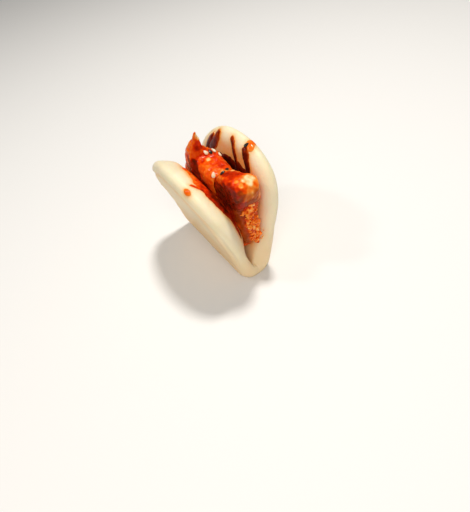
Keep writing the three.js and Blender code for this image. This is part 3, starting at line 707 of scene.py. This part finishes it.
# Where shade is painted on the crust as a darker brown, on faces turned from the light and under the
# front corner's overhang: (x, y, z, radius, share).
PAINTED_SHADE_PATCHES = {
    "fillet_back": [
        (-11.9, -8.1, 57.8, 3.0, 0.40), (12.8, -8.1, 56.0, 4.0, 0.40), (7.9, -8.9, 60.0, 2.6, 0.50),
    ],
    "fillet_front": [
        (36.1, -1.3, 61.3, 3.0, 0.50), (36.0, 1.0, 57.4, 3.8, 0.95), (36.3, 3.6, 61.3, 2.8, 0.60),
        (35.2, -4.5, 61.3, 2.6, 0.60), (34.8, -4.6, 64.8, 1.8, 0.80), (35.7, -3.8, 63.0, 2.0, 0.85),
        (34.6, 3.6, 53.4, 3.6, 0.80), (31.2, -4.1, 49.1, 4.2, 0.85), (30.6, -4.6, 43.6, 4.2, 0.80),
        (31.3, -3.8, 37.9, 4.2, 0.80), (31.9, -2.9, 32.4, 4.6, 0.90), (32.0, -1.8, 26.0, 6.0, 0.90),
        (28.6, -4.4, 29.0, 6.0, 0.85),
    ],
}


def settled(points, edges, rounds):
    """Points drawn towards their neighbours, over and over."""
    count = np.bincount(edges.ravel(), minlength=len(points))[:, None]
    for _ in range(rounds):
        total = np.stack(
            [np.bincount(edges[:, 0], points[edges[:, 1], k], len(points))
             + np.bincount(edges[:, 1], points[edges[:, 0], k], len(points)) for k in range(3)], axis=-1
        )
        points = 0.5 * points + 0.5 * total / count
    return points


def hollows(mesh):
    """How far each point lies below the surface round it, in millimetres."""
    edges = np.empty(len(mesh.edges) * 2, np.int32)
    mesh.edges.foreach_get("vertices", edges)
    points = points_of(mesh)
    outward = settled(points, edges.reshape(-1, 2), HOLLOW_ROUNDS) - points
    return np.einsum("ij,ij->i", outward, normals_of(mesh))


def patches_at(points, patches, edge, fade, seed):
    """Each patch's share at the points, from 1 inside it to 0, with a ragged edge, and its own value."""
    wobble = bumps(points, edge, seed)
    for *middle, radius, value in patches:
        distance = np.linalg.norm(points - middle, axis=1) / radius + wobble
        yield 1 - eased(distance, *fade), value


def glaze_tone(mesh, patches, seed):
    """How thick the sauce lies at each point, from 0 for bare batter to 1 for a deep pool; on faces turned
    from the light the tone also holds painted shade, and a few pale spots are painted highlights.
    """
    points = points_of(mesh) - FOLD_PLACE
    tone = GLAZE_TONE + bumps(points, GLAZE_DRIFT, seed)
    for share, patch_tone in patches_at(points, patches, PATCH_EDGE, PATCH_FADE, seed + 1):
        tone = tone + share * (patch_tone - tone)
    upright = 1 - np.abs(normals_of(mesh)[:, 2])
    streaks = upright * bumps(points * GLAZE_STRETCH, GLAZE_STREAKS, seed + 3)
    pooled = HOLLOW_TONE * np.clip(hollows(mesh) / HOLLOW_DEPTH, -1, 1)
    return np.clip(tone + streaks + bumps(points, GLAZE_MOTTLE, seed + 4) + pooled, 0, 1)


def painted_shading(mesh, patches, seed):
    """How much painted shade darkens the crust at each point, from 0 to 1."""
    shaded_share = np.zeros(len(mesh.vertices))
    for share, most in patches_at(points_of(mesh) - FOLD_PLACE, patches, PAINTED_SHADE_EDGE, PAINTED_SHADE_FADE, seed):
        shaded_share = np.maximum(shaded_share, most * share)
    return shaded_share


def crust_piece(node, seed):
    """A fillet: the solid's own form with a fine craggy skin, and its sauce and painted shade painted on.
    """
    mesh = frame["nodes"][node].data.copy()
    mesh.materials.clear()
    weld(mesh)
    piece = remeshed(new_piece(node + "_crust", mesh), CRUST_VOXEL, CRUST_SOFTEN)
    points = points_of(piece.data)
    ridges = RIDGE_HEIGHT * (RIDGE_LEVEL - np.abs(ripple(points, RIDGE_SIZE, seed)))
    craggy = ridges + bumps(points, CRAGS, seed + 1) - CRUST_SINK
    move_points(piece.data, points + normals_of(piece.data) * craggy[:, None])
    paint(piece.data, "tone", glaze_tone(piece.data, GLAZE_PATCHES[node], seed + 3))
    paint(piece.data, "painted_shade", painted_shading(piece.data, PAINTED_SHADE_PATCHES[node], seed + 9))
    return piece


def crust_material():
    made, tree, shader = material("sauced_crust")
    skin = skin_in(tree, grain=750.0, pores=800.0, blotch=420.0)
    tone = calc(tree, "ADD", kept(tree, "tone"), spread(tree, skin["Blotch"], -0.09, 0.09))
    # Painted shade turns the colour towards a dark brown and takes away the coat.
    painted_shade = kept(tree, "painted_shade")
    finish_shader(tree, shader, (skin["Grain"], 0.45, 0.8), {
        "Base Color": shade(tree, painted_shade, ramp(tree, tone, SAUCE_STOPS), PAINTED_SHADE_COLOUR),
        "Roughness": spread(tree, tone, 0.36, 0.12),
        "Coat Weight": spread(tree, painted_shade, 0.12, 0.0),
        "Coat Roughness": 0.08,
        "Coat IOR": 1.4,
        "Specular IOR Level": 0.08,
    })
    return made


CRUST_MATERIAL = crust_material()
crusts = {}
for node, seed in CRUST_SEEDS.items():
    crust = crusts[node] = crust_piece(node, seed)
    crust.data.materials.append(CRUST_MATERIAL)
    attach(crust, "root")
    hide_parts(node)


# Crisp crumbs of batter have fallen in a trail down the front end of the front fillet.
# They are small knobbly lumps in a thin coat of sauce, strewn over the trail's bed on the crust and on the
# dough beside it, and stuck together where they touch.
CRUMB_TOP = np.array([33.0, 0.9, 50.5])
CRUMB_BOTTOM = np.array([32.6, 3.0, 28.0])
CRUMB_REACH, CRUMB_EDGE = 5.6, [(0.25, 3.5)]
CRUST_BED_FACING, CRUST_BED_FADE, CRUST_BED_THINNING = (0.1, 0.4), (0.4, 0.6), 1.5
DOUGH_BED_RIM, DOUGH_BED_FADE, DOUGH_BED_THINNING = 2.0, (0.55, 0.6), 2
CLEARED, CLEARED_FADE, CLEARED_SIDE = 0.9, (0.5, 0.5), (-3.5, 2.0)
CRUMB_VOXEL, CRUMB_SOFTEN = 0.22 * MM, 3
CRUMB_KNOBS = [(0.20, 1.1), (0.14, 0.6)]
CRUMB_ANY_TURN = (6.28, 6.28, 6.28)
CRUMB_SHADE, CRUMB_HIGH_SHADE, CRUMB_HIGH, CRUMB_KNOB_SHADE = 0.78, 0.50, 1.2, 0.8
CRUMB_SHADE_DRIFT = [(0.36, 2.2)]
FRIED_STOPS = [
    (0.05, (1.0, 0.58, 0.20)), (0.35, (0.98, 0.32, 0.030)), (0.65, (0.92, 0.150, 0.006)),
    (0.95, (0.46, 0.030, 0.002)),
]


def nodes_tree(name, inputs):
    """An empty Geometry Nodes tree with named inputs, given as (name, socket type, value)."""
    tree = bpy.data.node_groups.new(name, "GeometryNodeTree")
    tree.interface.new_socket("Geometry", in_out="INPUT", socket_type="NodeSocketGeometry")
    for socket, kind, value in inputs:
        made = tree.interface.new_socket(socket, in_out="INPUT", socket_type=kind)
        if value is not None:
            made.default_value = value
    tree.interface.new_socket("Geometry", in_out="OUTPUT", socket_type="NodeSocketGeometry")
    return tree, tree.nodes.new("NodeGroupInput").outputs, tree.nodes.new("NodeGroupOutput").inputs


def end_tree(tree, given, out, laid):
    """Ends a tree: what was laid is made real, shaded smooth and given its material."""
    real = put(tree, "GeometryNodeRealizeInstances", {"Geometry": laid.outputs["Instances"]})
    soft = put(tree, "GeometryNodeSetShadeSmooth", {"Geometry": real.outputs["Geometry"]})
    dressed = {"Geometry": soft.outputs["Geometry"], "Material": given["Material"]}
    feed(tree, out["Geometry"], put(tree, "GeometryNodeSetMaterial", dressed).outputs["Geometry"])


def crumb_tree():
    """Round lumps of uneven size, turned at random and strewn over a marked bed."""
    tree, given, out = nodes_tree("crumb_trail", [
        ("Density", "NodeSocketFloat", 1.0), ("Smallest", "NodeSocketFloat", 0.5 * MM),
        ("Largest", "NodeSocketFloat", 1.5 * MM), ("Seed", "NodeSocketInt", 1),
        ("Material", "NodeSocketMaterial", None),
    ])
    bed = put(tree, "GeometryNodeInputNamedAttribute", {"Name": "crumb_bed"}, data_type="FLOAT").outputs[0]
    density = calc(tree, "MULTIPLY", bed, given["Density"])
    strewn = put(tree, "GeometryNodeDistributePointsOnFaces",
                 {"Mesh": given["Geometry"], "Density": density, "Seed": given["Seed"]})
    lump = put(tree, "GeometryNodeMeshIcoSphere", {"Radius": 1.0, "Subdivisions": 1})
    turn = put(tree, "FunctionNodeRandomValue",
               {1: CRUMB_ANY_TURN, "Seed": given["Seed"]}, data_type="FLOAT_VECTOR")
    size = put(tree, "FunctionNodeRandomValue",
               {0: given["Smallest"], 1: given["Largest"], "Seed": given["Seed"]}, data_type="FLOAT_VECTOR")
    laid = put(tree, "GeometryNodeInstanceOnPoints", {
        "Points": strewn.outputs["Points"], "Instance": lump.outputs["Mesh"],
        "Rotation": turn.outputs[0], "Scale": size.outputs[0],
    })
    end_tree(tree, given, out, laid)
    return tree


def grown_piece(name, mesh, tree, **values):
    """A plain mesh piece grown by a Geometry Nodes tree on a mesh."""
    piece = new_piece(name, mesh)
    grow = piece.modifiers.new("grow", "NODES")
    grow.node_group = tree
    for item in tree.interface.items_tree:
        if item.in_out == "INPUT" and item.name in values:
            grow[item.identifier] = values[item.name]
    return made_plain(piece)


def trail_share(mesh):
    """Distance from the line of the trail, as a share of its reach, with a ragged edge."""
    points = points_of(mesh) - FOLD_PLACE
    way = CRUMB_BOTTOM - CRUMB_TOP
    along = np.clip((points - CRUMB_TOP) @ way / (way @ way), 0, 1)
    apart = np.linalg.norm(points - CRUMB_TOP - along[:, None] * way, axis=1)
    return apart / CRUMB_REACH + bumps(points, CRUMB_EDGE, seed=41)


def crust_bed(mesh):
    """Where crumbs lie on the crust: thinning out from the trail, on what faces the front."""
    shown = eased(normals_of(mesh)[:, 0], *CRUST_BED_FACING)
    return shown * (1 - eased(trail_share(mesh), *CRUST_BED_FADE)) ** CRUST_BED_THINNING


def dough_bed(mesh):
    """Where crumbs lie on the dough: beside the trail, on the inner face of the right flap."""
    inner_right = (1 - painted(mesh, "outer")) * (painted(mesh, "up") > 0)
    inside = inner_right * (painted(mesh, "from_rim") > DOUGH_BED_RIM)
    return inside * (1 - eased(trail_share(mesh), *DOUGH_BED_FADE)) ** DOUGH_BED_THINNING


def strewn_lumps(piece, bed, seed, density, smallest, largest):
    """Crumbs on a piece as points and faces: so many to a square metre, between two radii."""
    mesh = piece.data.copy()
    mesh.materials.clear()
    paint(mesh, "crumb_bed", bed(mesh))
    lumps = grown_piece("crumb_lumps", mesh, CRUMB_TREE, Density=density, Smallest=smallest * MM,
                        Largest=largest * MM, Seed=seed, Material=CRUMB_MATERIAL)
    shape = points_of(lumps.data), [list(face.vertices) for face in lumps.data.polygons]
    bpy.data.objects.remove(lumps)
    return shape


def crumb_material():
    made, tree, shader = material("fried_crumb")
    skin = skin_in(tree, grain=2600.0, pores=1500.0, blotch=380.0)
    fry = calc(tree, "ADD", kept(tree, "crumb_shade"), spread(tree, skin["Blotch"], -0.25, 0.25))
    finish_shader(tree, shader, (skin["Height"], 0.6, 0.3), {
        "Base Color": ramp(tree, fry, FRIED_STOPS),
        "Roughness": 0.26,
        "Specular IOR Level": 0.3,
    })
    return made


CRUMB_MATERIAL = crumb_material()
CRUMB_TREE = crumb_tree()
front_crust = crusts["fillet_front"]
# The painted shade on the front crust is lifted under the crumb trail.
cleared = 1 - eased(trail_share(front_crust.data), *CLEARED_FADE)
cleared = CLEARED * cleared * eased(points_of(front_crust.data)[:, 1] - FOLD_PLACE[1], *CLEARED_SIDE)
paint(front_crust.data, "painted_shade", painted(front_crust.data, "painted_shade") * (1 - cleared))
crumb_lumps = [
    strewn_lumps(front_crust, crust_bed, seed=4, density=640000.0, smallest=0.40, largest=1.35),
    strewn_lumps(bun, dough_bed, seed=5, density=900000.0, smallest=0.28, largest=0.66),
]
crumbs = fused_piece("crumbs", crumb_lumps, CRUMB_VOXEL, CRUMB_SOFTEN)
crumb_points = points_of(crumbs.data)
knobs = bumps(crumb_points, CRUMB_KNOBS, seed=42)
move_points(crumbs.data, crumb_points + normals_of(crumbs.data) * knobs[:, None])
# Crumbs are painted paler where they stand high off the crust and on their knobs, and darker low in the
# gaps between them: painted light and shade, over a random drift of tone.
high = eased(depth_on(crumbs, surface_of(front_crust)), 0, CRUMB_HIGH)
drift = bumps(crumb_points, CRUMB_SHADE_DRIFT, seed=44)
paint(crumbs.data, "crumb_shade", CRUMB_SHADE - CRUMB_HIGH_SHADE * high + drift - CRUMB_KNOB_SHADE * knobs)
crumbs.data.materials.append(CRUMB_MATERIAL)
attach(crumbs, "root")


# The dough takes up a little sauce round the runs and where the filling leans on it; on the inner faces the
# stain also paints orange light bounced from the filling. The stain is soft and orange, and paler at the
# open end of the fold. The dough is painted warmer low down, as warm light bounced up from below, and
# warmer and darker behind, on its outer faces, and along its crease, as painted shade, with a slow random
# drift of warmth. Its inner face is porous, with painted shade in the pores.
STAIN_BLOTCHES, MOST_STAINED = 4.0, 0.9
HALO, HALO_FADE = 0.85, 1.1
RUBBED_AND_BOUNCE, RUBBED_AND_BOUNCE_BLOTCHED, RUBBED_AND_BOUNCE_RIM = 0.52, 0.34, (2.5, 6.0)
CLEAN_END, CLEAN_END_FADE, CLEAN_END_RISE = 0.75, (10.0, 14.0), (16.0, 10.0)
GREASY, GREASY_FADE, GREASY_BLOTCHED = 0.50, 1.5, 0.6
POROUS, POROUS_BLOTCHED, POROUS_RIM = 0.25, 0.30, (2.0, 3.0)
LOW_PAINTED_BOUNCE, LOW_FADE = 0.6, (4.0, 40.0)
OUTER_PAINTED_SHADE, OUTER_RIM = 0.42, (2.0, 4.0)
CREASE_PAINTED_SHADE, CREASE_MIDDLE, CREASE_SPREAD = 0.26, 5.6, 3.4
WARMTH_DRIFT = [(0.12, 12.0)]


def distance_to(pieces, places):
    """How far places in millimetres are from the nearest of some pieces."""
    surfaces = [surface_of(piece) for piece in pieces]
    return np.array(
        [min(surface.find_nearest(Vector(place) * MM)[3] for surface in surfaces) / MM for place in places]
    )


def stain_dough(mesh):
    places = points_of(mesh)
    p, q, rim, outer = (painted(mesh, name) for name in ("along", "up", "from_rim", "outer"))
    up, inner = np.abs(q), 1 - outer
    blotchy = 0.5 + 0.5 * ripple(places, STAIN_BLOTCHES, seed=12)
    halo = HALO * np.exp(-distance_to(sauce_pieces, places) / HALO_FADE)
    clean = CLEAN_END * (1 - eased(up, *CLEAN_END_FADE)) * eased(p, *CLEAN_END_RISE)
    # On the inner faces the stain is both a sauce smear and painted orange light bounced from the filling.
    rubbed_and_bounce = inner * eased(rim, *RUBBED_AND_BOUNCE_RIM) * (RUBBED_AND_BOUNCE + RUBBED_AND_BOUNCE_BLOTCHED * blotchy) * (1 - clean)
    greasy = GREASY * np.exp(-distance_to([*crusts.values(), crumbs], places) / GREASY_FADE)
    greasy = greasy * (1 - GREASY_BLOTCHED * (1 - blotchy))
    paint(mesh, "stain_and_bounce", np.clip(halo + rubbed_and_bounce + greasy, 0, MOST_STAINED))
    # Pores on the inner face are painted darker: painted shade in the pits.
    paint(mesh, "painted_pore_shade", inner * eased(rim, *POROUS_RIM) * (POROUS + POROUS_BLOTCHED * blotchy))
    # Warmer low down: painted warm light bounced up from below.
    low = LOW_PAINTED_BOUNCE * (1 - eased(up, *LOW_FADE))
    # Warmer and darker on the outer faces: painted shade.
    outer_painted_shade = OUTER_PAINTED_SHADE * outer * eased(rim, *OUTER_RIM)
    # Warmer and darker along the outer crease: painted shade in the groove.
    by_crease = np.exp(-(((rim - CREASE_MIDDLE) / CREASE_SPREAD) ** 2))
    crease_painted_shade = CREASE_PAINTED_SHADE * outer * eased(-q, *CREASE_RISE) * by_crease
    warm_and_painted_light = low + outer_painted_shade + crease_painted_shade + bumps(places, WARMTH_DRIFT, seed=13)
    paint(mesh, "warmth_and_painted_light", np.clip(warm_and_painted_light, 0, 1))


stain_dough(bun.data)


# White and black sesame seeds stick to the sauce: flat drops about 3 mm long.
# They lie on the fillets' tops where they fell, given as (fillet, x, y, turn in degrees), and one black
# seed is on the right flap's rim, given as (p, q, turn).
WHITE_SEEDS = [
    ("fillet_back", -1.7, -0.3, 105), ("fillet_back", -1.2, 4.2, 45), ("fillet_back", 1.2, 6.0, 10),
    ("fillet_back", 13.2, -5.6, 80),
]
BLACK_SEEDS = [
    ("fillet_back", -0.9, 2.0, 65), ("fillet_front", 17.2, 0.4, 100), ("fillet_front", 19.2, -3.6, -20),
]
RIM_SEED = (11.0, 70.4, 60)
SEED_LENGTH, SEED_WIDTH, SEED_THICKNESS, SEED_TAPER = 3.0 * MM, 1.85 * MM, 1.1 * MM, 0.8
SEED_SEGMENTS, SEED_RINGS = 28, 18
SEED_RISE, RIM_SEED_RISE = 0.15 * SEED_THICKNESS, 0.5
SEED_BED_REACH, HIGH_ABOVE = 3.4 * MM, 200.0
WHITE_HULL, WHITE_ROUGHNESS = ((0.78, 0.60, 0.36), (0.92, 0.82, 0.62)), 0.4
BLACK_HULL, BLACK_ROUGHNESS = ((0.010, 0.008, 0.007), (0.035, 0.030, 0.026)), 0.25


def seed_tree():
    """Seeds on the points of a mesh: a ball drawn out to a flat drop, laid at each point's tilt."""
    tree, given, out = nodes_tree("sesame_seeds", [
        ("Length", "NodeSocketFloat", SEED_LENGTH), ("Width", "NodeSocketFloat", SEED_WIDTH),
        ("Thickness", "NodeSocketFloat", SEED_THICKNESS), ("Taper", "NodeSocketFloat", SEED_TAPER),
        ("Material", "NodeSocketMaterial", None),
    ])
    ball = put(tree, "GeometryNodeMeshUVSphere",
               {"Segments": SEED_SEGMENTS, "Rings": SEED_RINGS, "Radius": 0.5})
    place = tree.nodes.new("GeometryNodeInputPosition").outputs[0]
    deep, wide, long = put(tree, "ShaderNodeSeparateXYZ", {0: place}).outputs
    slim = calc(tree, "SUBTRACT", 1.0, calc(tree, "MULTIPLY", long, given["Taper"]))
    shape = put(tree, "ShaderNodeCombineXYZ", {
        0: calc(tree, "MULTIPLY", long, given["Length"]),
        1: calc(tree, "MULTIPLY", calc(tree, "MULTIPLY", wide, given["Width"]), slim),
        2: calc(tree, "MULTIPLY", deep, given["Thickness"]),
    })
    seed = put(tree, "GeometryNodeSetPosition",
               {"Geometry": ball.outputs["Mesh"], "Position": shape.outputs[0]})
    tilt = put(tree, "GeometryNodeInputNamedAttribute", {"Name": "tilt"}, data_type="FLOAT_VECTOR")
    laid = put(tree, "GeometryNodeInstanceOnPoints", {
        "Points": given["Geometry"], "Instance": seed.outputs["Geometry"], "Rotation": tilt.outputs[0],
    })
    end_tree(tree, given, out, laid)
    return tree


def flat_on(normal, turn):
    """The tilt of a seed that lies flat against a surface, turned on it."""
    return normal.to_track_quat("Z", "Y") @ Quaternion((0, 0, 1), math.radians(turn))


def on_fillet(node, x, y, turn):
    """A seed's spot on top of a fillet, and its tilt, flat on what lies round it."""
    surface = surface_of(crusts[node])
    spot = surface.ray_cast(Vector(FOLD_PLACE + (x, y, HIGH_ABOVE)) * MM, Vector((0, 0, -1)))[0]
    near = [normal for _, normal, _, _ in surface.find_nearest_range(spot, SEED_BED_REACH)]
    normal = sum(near, Vector()).normalized()
    return spot + normal * SEED_RISE, flat_on(normal, turn)


def on_rim(p, q, turn):
    """A seed's spot on the sauce at the rim, and its tilt."""
    spot = Vector(face_point(np.array(p), np.array(q), -1, RIM_SEED_RISE) + FOLD_PLACE) * MM
    return spot, flat_on(bun_surface.find_nearest(spot)[1], turn)


def seed_beds(laid):
    """A mesh of single points where seeds lie, each with the seed's tilt kept on it."""
    mesh = bpy.data.meshes.new("seed_beds")
    mesh.from_pydata([spot for spot, _ in laid], [], [])
    layer = mesh.attributes.new("tilt", "FLOAT_VECTOR", "POINT")
    layer.data.foreach_set("vector", np.array([tilt.to_euler() for _, tilt in laid], np.float32).ravel())
    return mesh


def seed_material(name, hull, roughness):
    made, tree, shader = material(name)
    skin = skin_in(tree, grain=2400.0, pores=2000.0, blotch=900.0)
    dull, bright = hull
    finish_shader(tree, shader, (skin["Height"], 0.2, 0.2), {
        "Base Color": ramp(tree, skin["Blotch"], [(0.3, dull), (0.7, bright)]),
        "Roughness": roughness,
    })
    return made


SEED_TREE = seed_tree()
white_laid = [on_fillet(*seed) for seed in WHITE_SEEDS]
black_laid = [on_fillet(*seed) for seed in BLACK_SEEDS] + [on_rim(*RIM_SEED)]
for name, laid, hull, roughness in (
    ("sesame_white", white_laid, WHITE_HULL, WHITE_ROUGHNESS),
    ("sesame_black", black_laid, BLACK_HULL, BLACK_ROUGHNESS),
):
    seeds = grown_piece(name, seed_beds(laid), SEED_TREE, Length=SEED_LENGTH, Width=SEED_WIDTH,
                        Thickness=SEED_THICKNESS, Taper=SEED_TAPER,
                        Material=seed_material(name, hull, roughness))
    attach(seeds, "root")


# The stage: a plain pale floor, a small key light from behind, a large soft fill from the front, a weak
# glint from the left, and a pale surround. The camera looks down at the bun's front end from the left,
# a little turned.
FLOOR_HALF, FLOOR_COLOUR, FLOOR_ROUGHNESS = 3.0, (0.84, 0.83, 0.815), 0.7
LIGHT_AIM = Vector((0, 0, 0.035))
LIGHTS = {
    "key": {"place": (-0.10, 0.25, 0.80), "size": 0.12, "power": 4.9, "colour": (1.0, 0.97, 0.92)},
    "fill": {"place": (0.60, -0.34, 0.68), "size": 0.60, "power": 4.3, "colour": (1.0, 0.96, 0.90)},
    "glint": {"place": (-0.20, -0.45, 0.60), "size": 0.08, "power": 0.7, "colour": (1.0, 0.98, 0.95)},
}
NOT_MIRRORED = "fill"
SURROUND_COLOUR, SURROUND_STRENGTH = (1.0, 0.99, 0.97), 0.20
CAMERA_PLACE = Vector(FOLD_PLACE + (165.87, -78.08, 189.42)) * MM
LOOK_YAW, LOOK_DOWN, ROLL = math.radians(153.794), math.radians(47.875), math.radians(11.545)
LENS, CLIP_START = 29.264, 0.005


def floor_piece():
    mesh = bpy.data.meshes.new("floor")
    corners = [(x * FLOOR_HALF, y * FLOOR_HALF, 0) for x, y in ((-1, -1), (1, -1), (1, 1), (-1, 1))]
    mesh.from_pydata(corners, [], [(0, 1, 2, 3)])
    made, tree, shader = material("pale_floor")
    feed(tree, shader.inputs["Base Color"], FLOOR_COLOUR)
    feed(tree, shader.inputs["Roughness"], FLOOR_ROUGHNESS)
    mesh.materials.append(made)
    return new_piece("floor", mesh)


def area_light(name, place, size, power, colour):
    """A round soft light that shines on the bun."""
    lamp = bpy.data.lights.new(name, "AREA")
    lamp.shape, lamp.size, lamp.energy, lamp.color = "DISK", size, power, colour
    light = new_piece(name, lamp)
    light.location = place
    light.rotation_euler = (LIGHT_AIM - light.location).to_track_quat("-Z", "Y").to_euler()
    light.visible_glossy = name != NOT_MIRRORED


floor_piece()
for name, light in LIGHTS.items():
    area_light(name, **light)
world = bpy.context.scene.world = bpy.data.worlds.new("surround")
world.use_nodes = True
background = world.node_tree.nodes["Background"]
feed(world.node_tree, background.inputs["Color"], SURROUND_COLOUR)
feed(world.node_tree, background.inputs["Strength"], SURROUND_STRENGTH)
world.cycles_visibility.glossy = False
bpy.context.scene.view_settings.view_transform = "Standard"

level = Vector((math.cos(LOOK_YAW), math.sin(LOOK_YAW), 0))
forward = level * math.cos(LOOK_DOWN) - Vector((0, 0, math.sin(LOOK_DOWN)))
right = Matrix.Rotation(ROLL, 3, forward) @ forward.cross(Vector((0, 0, 1))).normalized()
up = right.cross(forward)
camera = new_piece("camera", bpy.data.cameras.new("camera"))
camera.data.lens = LENS
camera.data.clip_start = CLIP_START
camera.matrix_world = Matrix.Translation(CAMERA_PLACE) @ Matrix((right, up, -forward)).transposed().to_4x4()
bpy.context.scene.camera = camera
